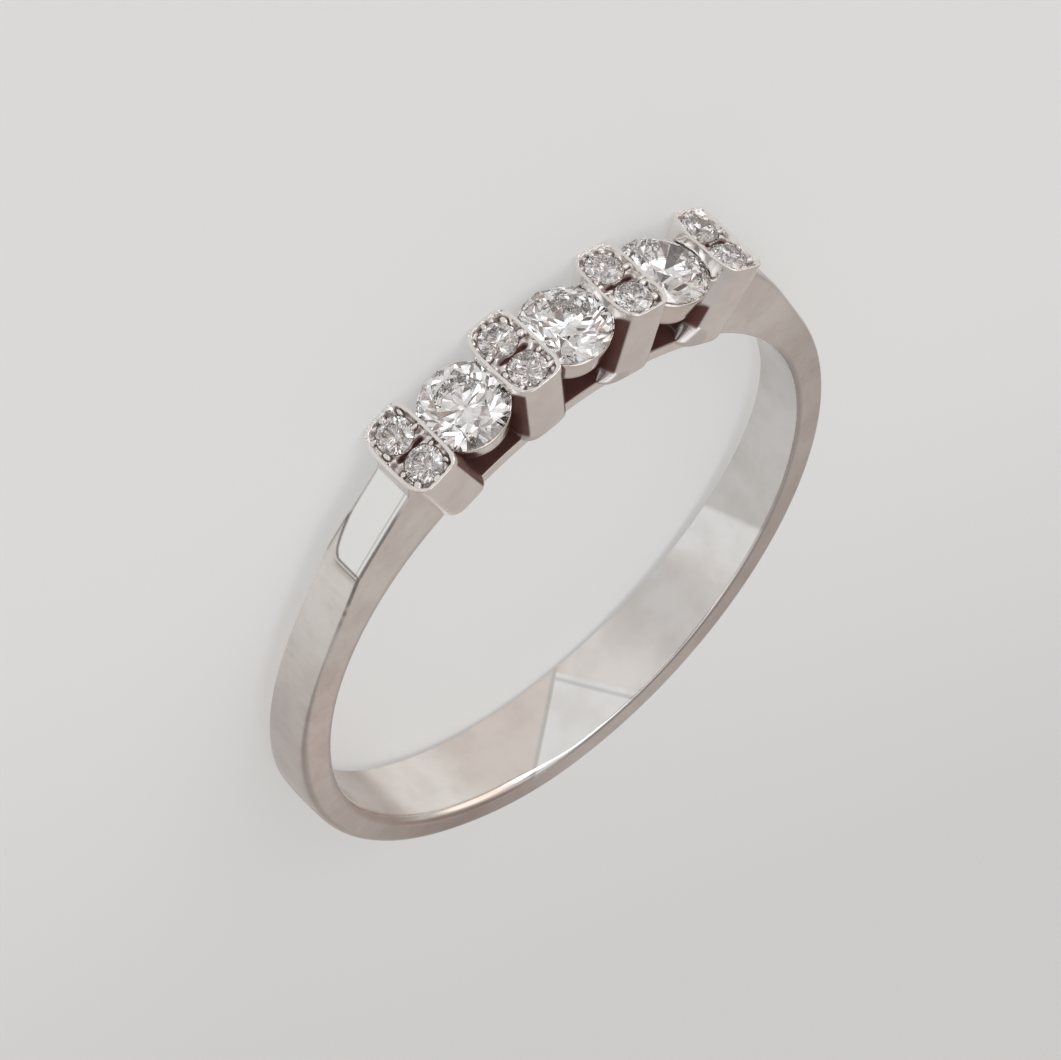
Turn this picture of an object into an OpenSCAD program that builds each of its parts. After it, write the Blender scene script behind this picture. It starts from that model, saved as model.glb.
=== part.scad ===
// Three-stone ring with four jewelled cross bars.
// The ring lies on its side: X runs along the row of stones, Y points from the
// finger hole out through the middle stone, and Z is the axis of the finger
// hole. The origin is the centre of the finger hole. Sizes are in millimetres.

/* [Band] */
// Inner diameter, across the finger hole
finger_d = 17; // [15:0.5:21]
// Width of the band at the back of the finger
back_w = 2.44; // [2:0.1:3]
// Width of the band where it runs into the head
shoulder_w = 1.34; // [1.1:0.1:1.6]
// Thickness of the band at the middle of its outer face
band_t = 0.92; // [0.8:0.05:1.2]
// Rise of the domed outer face from its edges to its middle
dome_h = 0.09; // [0.04:0.01:0.14]
// Angle from the middle of the head at which the band starts to thicken
swell_a = 80; // [72:1:88]
// Thickness of the band at the lower end of the shoulder facet
shoulder_t = 1.73; // [1.5:0.05:2]

/* [Shoulder facets] */
// Angle of the facet's face from the middle of the head
facet_a = 52.6; // [50:0.5:56]
// Distance of the facet from the inner face of the ring
facet_h = 1.63; // [1.5:0.05:1.8]
// Place of the facet's rounded lower end, along the facet
facet_end = 1; // [0.7:0.1:1.4]
// Radius of the corners at the facet's lower end
facet_corner_r = 0.45; // [0.2:0.05:0.5]

/* [Head] */
// Angle from one cross bar to the next
bar_pitch = 18.4; // [17.5:0.1:19.5]
// Width of a cross bar, along the row of stones
bar_w = 1.5; // [1.3:0.05:1.6]
// Length of a cross bar, across the ring, at its top
bar_l = 2.56; // [2.5:0.02:3]
// Length of a cross bar at its foot
bar_foot_l = 2.2; // [2:0.05:2.4]
// Height of the cross bars above the inner face of the ring
bar_h = 2.95; // [2.8:0.05:3.2]
// Bulge of each end of a cross bar, seen from above
bar_bulge = 0.16; // [0.1:0.02:0.3]
// Radius of the upright corners of a cross bar
bar_corner_r = 0.25; // [0.1:0.05:0.3]
// Radius of the lower corners of a cross bar's ends
bar_foot_r = 0.35; // [0.2:0.05:0.5]
// Width of the bright rim round the top of a cross bar
rim_w = 0.1; // [0.06:0.01:0.14]
// Depth of the stone field below that rim
rim_h = 0.07; // [0.04:0.01:0.1]
// Thickness of the gallery rail that follows the finger hole
rail_t = 0.4; // [0.3:0.05:0.6]
// Width of the gallery rail, across the ring
rail_w = 1.7; // [1.5:0.05:1.9]

/* [Collars] */
// Height of a collar's lower edge above the inner face
collar_low = 1.4; // [1.2:0.05:1.6]
// Height of a collar's upper edge above the inner face
collar_high = 2.25; // [2.1:0.05:2.3]
// Diameter of a collar at its lower edge
collar_low_d = 2.04; // [1.8:0.05:2.2]
// Diameter of a collar at its upper edge
collar_high_d = 2.48; // [2.4:0.02:2.5]
// Diameter of the open bottom of a collar
collar_hole_d = 1.2; // [0.8:0.1:1.4]

/* [Stones] */
// Diameter of a main stone
stone_d = 2.52; // [2.4:0.02:2.6]
// Height of the main stones' girdles above the inner face
stone_h = 2.4; // [2.3:0.05:2.5]
// Diameter of a small stone on a cross bar
small_d = 0.96; // [0.8:0.02:1]
// Distance between the two small stones of a cross bar
small_pitch = 1.16; // [1.05:0.01:1.2]
// Gap between a stone and its seat
seat_gap = 0.03; // [0.02:0.005:0.05]
// Radius of the grains that hold the small stones
grain_r = 0.11; // [0.08:0.01:0.13]

/* [Hidden] */
$fn = 96;

finger_r = finger_d / 2;
band_r = finger_r + band_t;
head_r = finger_r + bar_h;
girdle_r = finger_r + stone_h;
bar_angles = [for (i = [0:3]) (i - 1.5) * bar_pitch];
stone_angles = [for (i = [0:2]) (i - 1) * bar_pitch];
stone_names = ["stone_left", "stone_middle", "stone_right"];

// Proportions of a brilliant cut, as shares of its diameter
table_share = 0.57;
crown_share = 0.155;
girdle_share = 0.025;
pavilion_share = 0.43;

// Circle that carries the outer face from the band up to the facet's end:
// it touches the band's circle at swell_a and passes through the facet's end
facet_end_a = facet_a - asin(facet_end / (finger_r + shoulder_t));
end_r = finger_r + shoulder_t;
along = end_r * cos(swell_a - facet_end_a);
swell_r = (end_r * end_r - 2 * band_r * along + band_r * band_r) / (2 * (band_r - along));

// Radius of the arc that domes the outer face across its width
dome_r = (pow(back_w / 2, 2) + dome_h * dome_h) / (2 * dome_h);

// The band's two sides are flat planes that close towards the head
side_low_y = -band_r;
side_high_y = 7;
blank_w = back_w + 0.2;
far = 3 * finger_r;

// The shoulders and the gallery rail end inside the outermost cross bars
head_a = 1.5 * bar_pitch;
small_girdle_h = head_r - rim_h - 0.05;
bar_foot_h = finger_r + 0.06;

// Place children at an angle round the finger hole, with their Z pointing outwards
module outward(angle) {
    rotate([0, 0, -angle]) rotate([-90, 0, 0]) rotate([0, 0, 180]) children();
}

// Rectangle with four round corners
module rounded_square(w, l, r) {
    square([w - 2 * r, l], center = true);
    square([w, l - 2 * r], center = true);
    for (x = [-1, 1], y = [-1, 1]) translate([x * (w / 2 - r), y * (l / 2 - r)]) circle(r);
}

// Plan of a cross bar: round corners, and ends that bulge outwards
module bar_plan(inset) {
    w = bar_w - 2 * inset;
    l = bar_l - 2 * inset;
    end_arc_r = (w * w / 4 + bar_bulge * bar_bulge) / (2 * bar_bulge);
    intersection() {
        rounded_square(w, l, bar_corner_r - inset / 2);
        for (side = [-1, 1]) translate([0, side * (end_arc_r - l / 2)]) circle(end_arc_r);
    }
}

// Outline of a cross bar seen along the row of stones, narrowing to a rounded foot
module bar_side() {
    foot = bar_foot_l / 2;
    polygon([
        [-bar_l / 2, head_r], [bar_l / 2, head_r],
        [foot, bar_foot_h + bar_foot_r], [-foot, bar_foot_h + bar_foot_r]
    ]);
    translate([-foot + bar_foot_r, bar_foot_h]) square([2 * (foot - bar_foot_r), bar_foot_r + 0.01]);
    for (side = [-1, 1]) {
        translate([side * (foot - bar_foot_r), bar_foot_h + bar_foot_r]) circle(bar_foot_r);
    }
}

module bar(angle) {
    outward(angle) difference() {
        intersection() {
            translate([0, 0, bar_foot_h]) linear_extrude(head_r - bar_foot_h) bar_plan(0);
            rotate([90, 0, 90]) linear_extrude(bar_w, center = true) bar_side();
        }
        translate([0, 0, head_r - rim_h]) linear_extrude(1) bar_plan(rim_w);
    }
}

// Grains raised from the metal at the corners of a bar's stone field and at its middle
module grains(angle) {
    field_w = bar_w / 2 - rim_w - grain_r;
    outward(angle) for (x = [-1, 1]) {
        for (y = [-1, 1]) translate([x * field_w * 0.98, y * bar_l * 0.37, head_r - rim_h]) sphere(grain_r);
        translate([x * field_w * 0.75, 0, head_r - rim_h]) sphere(grain_r);
    }
}

// Cross-section of the band, with its outer face at radius r
module band_section(r, depth) {
    intersection() {
        translate([r - depth, -blank_w / 2]) square([depth, blank_w]);
        translate([r - dome_r, 0]) circle(dome_r, $fn = 180);
    }
}

// Part of the band that is the same thickness all the way round the back
module back_band() {
    rotate([0, 0, 90 + swell_a]) rotate_extrude(angle = 360 - 2 * swell_a, $fn = 180)
        band_section(band_r, band_t + 0.4);
}

// Thicker part of the band at one side of the head
module shoulder_blank(side) {
    reach = 30;
    mirror([side < 0 ? 1 : 0, 0, 0]) rotate([0, 0, 90 - swell_a])
        translate([band_r - swell_r, 0, 0]) rotate_extrude(angle = reach, $fn = 180)
            band_section(swell_r, 4);
}

// Flat facet filed on a shoulder, with a rounded lower end
module facet_cut(side) {
    half = shoulder_w / 2;
    flat = half - facet_corner_r;
    mirror([side < 0 ? 1 : 0, 0, 0]) outward(facet_a) translate([0, 0, finger_r + facet_h])
        linear_extrude(3) {
            translate([facet_end + facet_corner_r, -back_w]) square([far, 2 * back_w]);
            translate([facet_end, -flat]) square([1, 2 * flat]);
            for (z = [-1, 1]) {
                translate([facet_end + facet_corner_r, z * flat]) circle(facet_corner_r);
            }
        }
}

// Space between the band's two flat sides
module between_sides() {
    slope = (back_w - shoulder_w) / (side_high_y - side_low_y) / 2;
    low_half = back_w / 2 + slope * (far + side_low_y);
    high_half = back_w / 2 - slope * (far - side_low_y);
    rotate([90, 0, 90]) linear_extrude(2 * far, center = true) polygon([
        [-far, -low_half], [far, -high_half], [far, high_half], [-far, low_half]
    ]);
}

// Wedge over the head, from the finger hole's axis outwards
module head_sector(angle) {
    linear_extrude(2 * far, center = true) polygon([
        [0, 0], [-far * sin(angle), far * cos(angle)], [0, 2 * far], [far * sin(angle), far * cos(angle)]
    ]);
}

module shank() {
    difference() {
        intersection() {
            union() {
                back_band();
                for (side = [-1, 1]) shoulder_blank(side);
            }
            between_sides();
        }
        for (side = [-1, 1]) facet_cut(side);
        head_sector(head_a);
    }
}

// Thin rail that closes the finger hole under the stones
module gallery_rail() {
    intersection() {
        cylinder(r = finger_r + rail_t, h = rail_w, center = true, $fn = 180);
        head_sector(head_a + 1);
    }
}

// Plain cup under a main stone
module collar(angle) {
    outward(angle) translate([0, 0, finger_r + collar_low]) difference() {
        cylinder(d1 = collar_low_d, d2 = collar_high_d, h = collar_high - collar_low);
        translate([0, 0, -1]) cylinder(d = collar_hole_d, h = 3);
    }
}

// Space that a brilliant takes up, with a gap all round it; open upwards if it asks
module seat(angle, offset, height, d, open_top) {
    r = d / 2 + seat_gap;
    low = -girdle_share * d / 2 - seat_gap / 2;
    high = girdle_share * d / 2 + seat_gap / 2;
    table_r = table_share * d / 2 + seat_gap;
    table_z = crown_share * d + girdle_share * d / 2 + seat_gap;
    outward(angle) translate([0, offset, height]) rotate_extrude() polygon(open_top
        ? [[0, low - pavilion_share * d], [r, low], [r, 1], [0, 1]]
        : [[0, low - pavilion_share * d], [r, low], [r, high], [table_r, table_z], [0, table_z]]);
}

module ring_metal() {
    color([0.80, 0.78, 0.76]) difference() {
        union() {
            shank();
            gallery_rail();
            for (a = bar_angles) bar(a);
            for (a = bar_angles) grains(a);
            for (a = stone_angles) collar(a);
        }
        cylinder(r = finger_r, h = 2 * blank_w, center = true, $fn = 180);
        for (a = stone_angles) seat(a, 0, girdle_r, stone_d, false);
        for (a = bar_angles, y = [-1, 1]) {
            seat(a, y * small_pitch / 2, small_girdle_h, small_d, true);
        }
    }
}

// Points of one ring of a brilliant, at every step of 360 / n degrees from a start angle
function ring_points(n, r, z, start) = [for (i = [0:n - 1])
    [r * cos(start + i * 360 / n), r * sin(start + i * 360 / n), z]];

// Round brilliant: a flat table, star, kite and girdle facets above, and kites
// and girdle facets that meet in a point below. Each kite lies in one plane.
module brilliant(d) {
    r = d / 2;
    girdle_z = girdle_share * r;
    table_r = table_share * r;
    table_z = girdle_z + crown_share * d;
    culet_z = -girdle_z - pavilion_share * d;
    star_z = table_z - 0.55 * (table_z - girdle_z);
    star_r = (table_r + (r - table_r) * 0.55) / cos(22.5);
    half_z = -girdle_z - 0.78 * pavilion_share * d;
    half_r = r * (half_z - culet_z) / (-girdle_z - culet_z) / cos(22.5);
    points = concat(
        ring_points(8, table_r, table_z, 0),
        ring_points(8, star_r, star_z, 22.5),
        ring_points(16, r, girdle_z, 0),
        ring_points(16, r, -girdle_z, 0),
        ring_points(8, half_r, half_z, 22.5),
        [[0, 0, culet_z]]
    );
    star = 8;
    top = 16;
    low = 32;
    half = 48;
    culet = 56;
    faces = concat(
        [[for (i = [7:-1:0]) i]],
        [for (i = [0:7]) [i, (i + 1) % 8, star + i]],
        [for (i = [0:7]) [i, star + i, top + 2 * i, star + (i + 7) % 8]],
        [for (i = [0:7]) [star + i, top + 2 * i + 1, top + 2 * i]],
        [for (i = [0:7]) [star + i, top + (2 * i + 2) % 16, top + 2 * i + 1]],
        [for (i = [0:15]) [top + i, top + (i + 1) % 16, low + (i + 1) % 16, low + i]],
        [for (i = [0:7]) [low + 2 * i, low + 2 * i + 1, half + i]],
        [for (i = [0:7]) [low + 2 * i + 1, low + (2 * i + 2) % 16, half + i]],
        [for (i = [0:7]) [low + 2 * i, half + i, culet, half + (i + 7) % 8]]
    );
    polyhedron(points, faces);
}

module main_stone(i) {
    color([0.93, 0.95, 0.96]) outward(stone_angles[i]) translate([0, 0, girdle_r]) brilliant(stone_d);
}

module small_stone(i, side) {
    color([0.90, 0.92, 0.93]) outward(bar_angles[i])
        translate([0, side * small_pitch / 2, small_girdle_h]) brilliant(small_d);
}

ring_metal();
for (i = [0:2]) {
    main_stone(i);
}
for (i = [0:3]) {
    small_stone(i, -1);
    small_stone(i, 1);
}
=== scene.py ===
"""A three-stone ring that lies on its side on a pale table.

Sizes are in millimetres and angles in degrees. A place on the ring is given by an angle round the
finger hole, which is 0 at the middle stone and grows towards +X, by a radius from the hole's axis,
and by z along that axis. On one bar or stone, s runs along the row of stones.
"""

import itertools
import logging
import math
from dataclasses import dataclass, field
from enum import Enum

import bpy
import numpy as np
from mathutils import Matrix, Vector


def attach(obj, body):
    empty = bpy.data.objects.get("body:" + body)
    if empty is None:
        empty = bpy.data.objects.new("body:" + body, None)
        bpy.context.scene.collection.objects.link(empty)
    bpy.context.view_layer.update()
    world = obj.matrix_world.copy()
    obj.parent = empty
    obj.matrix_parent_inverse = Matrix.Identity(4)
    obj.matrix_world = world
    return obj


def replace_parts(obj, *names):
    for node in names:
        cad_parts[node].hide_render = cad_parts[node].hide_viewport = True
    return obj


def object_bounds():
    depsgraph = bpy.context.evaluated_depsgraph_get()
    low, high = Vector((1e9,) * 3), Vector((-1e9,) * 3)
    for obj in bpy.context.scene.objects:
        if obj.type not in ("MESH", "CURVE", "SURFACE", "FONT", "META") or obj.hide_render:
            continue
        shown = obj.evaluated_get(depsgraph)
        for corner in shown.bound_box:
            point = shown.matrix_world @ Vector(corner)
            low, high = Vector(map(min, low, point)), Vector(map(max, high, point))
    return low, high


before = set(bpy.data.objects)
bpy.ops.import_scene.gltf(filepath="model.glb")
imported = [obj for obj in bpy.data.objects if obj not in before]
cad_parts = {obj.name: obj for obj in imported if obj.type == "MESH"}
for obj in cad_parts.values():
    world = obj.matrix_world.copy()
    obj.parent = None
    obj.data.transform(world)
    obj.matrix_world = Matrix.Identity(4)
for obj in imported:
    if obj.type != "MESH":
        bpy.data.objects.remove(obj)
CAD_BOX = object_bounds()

LOG = logging.getLogger("ring")
MM = 0.001
BODY = "root"

Array = np.ndarray
Colour = tuple[float, float, float]
Direction = tuple[float, float, float]
Rise = tuple[float, float]
Span = tuple[float, float, float, float]

FINGER_R = 8.5
HEAD_R = 11.45
BAR_PITCH = 18.4
STONE_ANGLES = (-BAR_PITCH, 0.0, BAR_PITCH)
STONE_SIDES = ("left", "middle", "right")
GIRDLE_R = 10.9
STONE_D = 2.52
SMALL_D = 1.04
SMALL_GIRDLE_R = 11.33
SMALL_PITCH = 1.16
CROWN_SHARE = 0.155
GIRDLE_SHARE = 0.014
PAVILION_SHARE = 0.43
SIXTEENTH = math.radians(22.5)


class Side(Enum):
    """The two long flat sides of the ring: the near one faces up, the far one lies on the table."""

    NEAR = 1
    FAR = -1


class Face(Enum):
    """The band's faces, as the names of the masks that its mesh carries."""

    INNER = "inner_face"
    OUTER = "outer_face"
    SIDE = "side_face"


class Polish(Enum):
    """How smooth a metal surface is, as a roughness."""

    MIRROR = 0.06
    BRIGHT = 0.16
    SATIN = 0.34
    DULL = 0.5


def ease(x: Array, low: float, high: float) -> Array:
    """A smooth rise from 0 at low to 1 at high: 3t^2 - 2t^3 of the clipped share t."""
    t = np.clip((x - low) / (high - low), 0, 1)
    return t * t * (3 - 2 * t)


def quarter_turn(count: int) -> Array:
    """Evenly spaced angles from 0 to a quarter turn."""
    return np.linspace(0, math.pi / 2, count)


def inner_shares(count: int) -> Array:
    """Evenly spaced shares between 0 and 1, without the two ends, as a row."""
    return np.linspace(0, 1, count + 2)[None, 1:-1]


def plateau(x: Array, low: float, full: float, fade: float, end: float) -> Array:
    """A smooth rise from 0 at low to 1 at full, times a smooth fall to 0 from fade to end."""
    return ease(x, low, full) * (1 - ease(x, fade, end))


def bell(x: Array, width: float) -> Array:
    """A bell curve: e to the power of minus the squared share x over width."""
    return np.exp(-((x / width) ** 2))


def soft_least(first: Array, second: Array, blend: Array) -> Array:
    """The lesser of two, rounded: half of their sum less the root of difference and blend squared."""
    return 0.5 * (first + second - np.sqrt((first - second) ** 2 + blend**2))


def ripples(s: Array, z: Array, seed: int) -> Array:
    """Small irregular dents: a sum of sine waves that run in random directions.

    Args:
        s: places along the row of stones.
        z: places along the finger hole's axis.
        seed: the number that the random directions start from.

    Returns:
        The heights.
    """
    count, depth = 14, 0.006
    random = np.random.default_rng(seed)
    way, start = random.uniform(0, 2 * math.pi, (2, count))
    fineness = random.uniform(14, 34, count)
    along = s[..., None] * np.cos(way) + z[..., None] * np.sin(way)
    return depth * np.sin(along * fineness + start).sum(axis=-1)


def around(angle: Array, radius: Array, z: Array) -> Array:
    """Points round the finger hole: x is r times the sine of the angle and y is r times its cosine."""
    a = np.radians(angle)
    return np.stack(np.broadcast_arrays(radius * np.sin(a), radius * np.cos(a), z), axis=-1)


def stand_out(angle: float, s: Array, z: Array, height: Array) -> Array:
    """Points of a bar or stone that stands out from the finger hole at an angle.

    The height goes along the radius, s along the tangent, and z stays.

    Args:
        angle: where the bar or stone stands, in degrees.
        s: places along the row of stones.
        z: places along the finger hole's axis.
        height: distances from the axis, along the bar's own radius.

    Returns:
        The points, with x, y and z on the last axis.
    """
    sine, cosine = math.sin(math.radians(angle)), math.cos(math.radians(angle))
    x = height * sine + s * cosine
    y = height * cosine - s * sine
    return np.stack(np.broadcast_arrays(x, y, z), axis=-1)


def add_object(name: str, data: bpy.types.ID) -> bpy.types.Object:
    """Links a new object with a mesh or a camera to the scene."""
    obj = bpy.data.objects.new(name, data)
    bpy.context.scene.collection.objects.link(obj)
    return obj


@dataclass
class Shell:
    """Points in millimetres, the faces over them, and masks that say where a finish changes."""

    points: Array
    faces: list[Array]
    masks: dict[str, Array] = field(default_factory=dict)

    @classmethod
    def over_rings(cls, rings: Array, joined: bool = False, **masks: Array) -> "Shell":
        """A closed skin over rings of points.

        Each ring joins to the next with four-cornered faces. The last ring joins to the first one,
        or else each end is closed by a fan to the middle of its ring.

        Args:
            rings: points by ring, by place on the ring, and by axis.
            joined: whether the last ring joins to the first.
            masks: values from 0 to 1 by ring and by place on the ring.

        Returns:
            The shell, with its faces outwards.
        """
        count, around_ring = rings.shape[:2]
        corner = np.arange(count * around_ring).reshape(count, around_ring)
        beside = np.roll(corner, -1, axis=1)
        ahead = np.roll(corner, -1, axis=0)
        diagonal = np.roll(ahead, -1, axis=1)
        quads = np.stack([corner, ahead, diagonal, beside], axis=-1)
        points = rings.reshape(-1, 3)
        spread = {name: np.broadcast_to(mask, rings.shape[:2]) for name, mask in masks.items()}
        if joined:
            flat = {name: mask.ravel() for name, mask in spread.items()}
            return cls(points, [quads.reshape(-1, 4)], flat).outwards()
        middles = rings[[0, -1]].mean(axis=1)
        first = np.full(around_ring, len(points))
        start = np.stack([first, corner[0], beside[0]], axis=-1)
        end = np.stack([first + 1, beside[-1], corner[-1]], axis=-1)
        flat = {name: np.append(mask.ravel(), mask[[0, -1]].mean(axis=1)) for name, mask in spread.items()}
        faces = [quads[:-1].reshape(-1, 4), start, end]
        return cls(np.vstack([points, middles]), faces, flat).outwards()

    def volume(self) -> float:
        """The enclosed volume: a sixth of the sum of corner products over each face's triangles."""
        total = 0.0
        for faces in self.faces:
            for k in range(1, faces.shape[1] - 1):
                a, b, c = (self.points[faces[:, i]] for i in (0, k, k + 1))
                total += float((np.cross(a, b) * c).sum()) / 6
        return total

    def outwards(self) -> "Shell":
        """The same shell with its faces turned if they enclose a negative volume."""
        if self.volume() < 0:
            self.faces = [f[:, ::-1] for f in self.faces]
        return self

    def piece(self, name: str, material: bpy.types.Material, slot: str, crease: float) -> bpy.types.Object:
        """Puts the shell into the scene as a piece of the ring.

        Args:
            name: the piece's name.
            material: its finish.
            slot: the record's material slot, which is not used.
            crease: edges bent by more than this angle in degrees stay sharp, and 0 is flat shading.

        Returns:
            The new object.
        """
        mesh = bpy.data.meshes.new(name)
        corners = [row for faces in self.faces for row in faces.tolist()]
        mesh.from_pydata((self.points * MM).tolist(), [], corners)
        if crease:
            mesh.shade_smooth()
            mesh.set_sharp_from_angle(angle=math.radians(crease))
        for mask, values in self.masks.items():
            layer = mesh.attributes.new(mask, "FLOAT", "POINT")
            layer.data.foreach_set("value", values.astype(np.float32))
        mesh.materials.append(material)
        obj = add_object(name, mesh)
        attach(obj, BODY)
        triangles = sum(len(f) * (f.shape[1] - 2) for f in self.faces)
        LOG.info("%s: %d triangles", name, triangles)
        return obj

    def metal_piece(self, name: str, material: bpy.types.Material, crease: float = 50) -> None:
        """Puts the shell into the scene as a piece that stands for some of the CAD's metal."""
        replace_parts(self.piece(name, material, "white_gold", crease), "ring_metal")


class Value:
    """A number in a shader: each operator adds its Math node, so maths reads as an expression."""

    def __init__(self, nodes: "Nodes", socket: bpy.types.NodeSocket) -> None:
        """Wraps a node's output socket."""
        self.nodes = nodes
        self.socket = socket

    def _math(self, operation: str, *terms: "Value | float") -> "Value":
        """A Math node over the terms."""
        node = self.nodes.add("ShaderNodeMath", {"operation": operation}, dict(enumerate(terms)))
        return Value(self.nodes, node.outputs[0])

    def __add__(self, other: "Value | float") -> "Value":
        """The sum."""
        return self._math("ADD", self, other)

    __radd__ = __add__

    def __sub__(self, other: "Value | float") -> "Value":
        """The difference."""
        return self._math("SUBTRACT", self, other)

    def __rsub__(self, other: float) -> "Value":
        """A number less this value."""
        return self._math("SUBTRACT", other, self)

    def __mul__(self, other: "Value | float") -> "Value":
        """The product."""
        return self._math("MULTIPLY", self, other)

    __rmul__ = __mul__

    def towards(self, other: "Value | float", share: "Value") -> "Value":
        """This value mixed with a share of another."""
        return self * (1 - share) + share * other

    def turn_from(self, other: "Value") -> "Value":
        """The angle from 0 to 360 degrees whose tangent is this value over another."""
        half = self._math("ARCTAN2", self, other) * math.degrees(1)
        return half + 360 * self._math("LESS_THAN", half, 0)

    def eased(self, low: float, high: float) -> "Value":
        """A smooth rise from 0 at low to 1 at high."""
        settings = {"interpolation_type": "SMOOTHSTEP"}
        inputs = {"Value": self, "From Min": low, "From Max": high}
        return Value(self.nodes, self.nodes.add("ShaderNodeMapRange", settings, inputs).outputs[0])


class Nodes:
    """A shader tree and the one way in which nodes are added to it."""

    def __init__(self, tree: bpy.types.NodeTree) -> None:
        """Starts with an empty tree."""
        self.tree = tree
        tree.nodes.clear()

    def add(self, kind: str, settings: dict, inputs: dict) -> bpy.types.Node:
        """Adds a node.

        Args:
            kind: the node's type.
            settings: its properties, such as a Math node's operation, set first.
            inputs: values or links of its sockets, by name or number.

        Returns:
            The node.
        """
        node = self.tree.nodes.new(kind)
        for name, setting in settings.items():
            setattr(node, name, setting)
        for key, given in inputs.items():
            if isinstance(given, Value):
                given = given.socket
            if isinstance(given, bpy.types.NodeSocket):
                self.tree.links.new(given, node.inputs[key])
            else:
                node.inputs[key].default_value = given
        return node

    def place(self) -> tuple[Value, Value, Value]:
        """The surface's place in millimetres, from Object coordinates, as x, y and z."""
        where = self.add("ShaderNodeTexCoord", {}, {}).outputs["Object"]
        parts = self.add("ShaderNodeSeparateXYZ", {}, {"Vector": where})
        x, y, z = (Value(self, out) * (1 / MM) for out in parts.outputs)
        return x, y, z

    def mask(self, name: str) -> Value:
        """A mask that the mesh carries, from 0 to 1."""
        return Value(self, self.add("ShaderNodeAttribute", {"attribute_name": name}, {}).outputs["Fac"])

    def noise(self, per_mm: float, detail: float, stretch: Direction = (1, 1, 1)) -> Value:
        """Soft random clouds round 0.5.

        Args:
            per_mm: how many clouds there are in a millimetre.
            detail: how many finer layers they have.
            stretch: how much finer they are along x, y and z.

        Returns:
            The clouds.
        """
        where = self.add("ShaderNodeTexCoord", {}, {}).outputs["Object"]
        scaled = self.add("ShaderNodeMapping", {}, {"Vector": where, "Scale": stretch}).outputs[0]
        inputs = {"Vector": scaled, "Scale": per_mm / MM, "Detail": detail}
        return Value(self, self.add("ShaderNodeTexNoise", {}, inputs).outputs[0])

    def mix(self, share: Value, first: object, second: object, way: str = "MIX") -> bpy.types.NodeSocket:
        """A colour between two others, or a colour tinted by another.

        Args:
            share: how much of the second there is.
            first: a colour or a socket.
            second: a colour or a socket.
            way: MIX, or MULTIPLY for a tint.

        Returns:
            The mixed colour's socket.
        """
        first, second = ((*c, 1) if isinstance(c, tuple) else c for c in (first, second))
        settings = {"data_type": "RGBA", "blend_type": way}
        return self.add("ShaderNodeMix", settings, {0: share, 6: first, 7: second}).outputs[2]

    def bump(self, height: Value, depth: float) -> bpy.types.NodeSocket:
        """A normal's socket from a height pattern from 0 to 1 and its depth in millimetres."""
        inputs = {"Height": height, "Strength": 1.0, "Distance": depth * MM}
        return self.add("ShaderNodeBump", {}, inputs).outputs[0]

    def finish(self, kind: str, inputs: dict) -> None:
        """Adds the surface shader and its output.

        Args:
            kind: the shader node's type.
            inputs: its sockets' values or links.
        """
        shader = self.add(kind, {}, inputs)
        out = "ShaderNodeOutputWorld" if kind == "ShaderNodeBackground" else "ShaderNodeOutputMaterial"
        self.add(out, {}, {"Surface": shader.outputs[0]})


def new_material(name: str) -> tuple[bpy.types.Material, Nodes]:
    """A new material and its empty shader tree."""
    material = bpy.data.materials.new(name)
    material.use_nodes = True
    return material, Nodes(material.node_tree)


@dataclass(frozen=True)
class PaintedLightPatch:
    """A stretch of the band painted lighter or darker than the rest, as painted reflections and painted
    shade.

    It lies between two slanted lines across the band: start and end are their angles at the band's
    middle, from 0 to 360 degrees, and the slants are degrees for each millimetre across.
    """

    face: Face
    start: float
    end: float
    shade: Colour
    start_slant: float = 0.0
    end_slant: float = 0.0
    start_blur: float = 4.0
    end_blur: float = 4.0

    def mask(self, nodes: "Nodes", turn: Value, z: Value) -> Value:
        """Where the patch is.

        Args:
            nodes: the material's nodes.
            turn: the surface's angle from 0 to 360 degrees.
            z: its place across the band.

        Returns:
            The mask.
        """
        from_start = turn - z * self.start_slant
        from_end = turn - z * self.end_slant
        rise = from_start.eased(self.start - self.start_blur, self.start + self.start_blur)
        fall = from_end.eased(self.end - self.end_blur, self.end + self.end_blur)
        return nodes.mask(self.face.value) * rise * (1 - fall)
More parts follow.
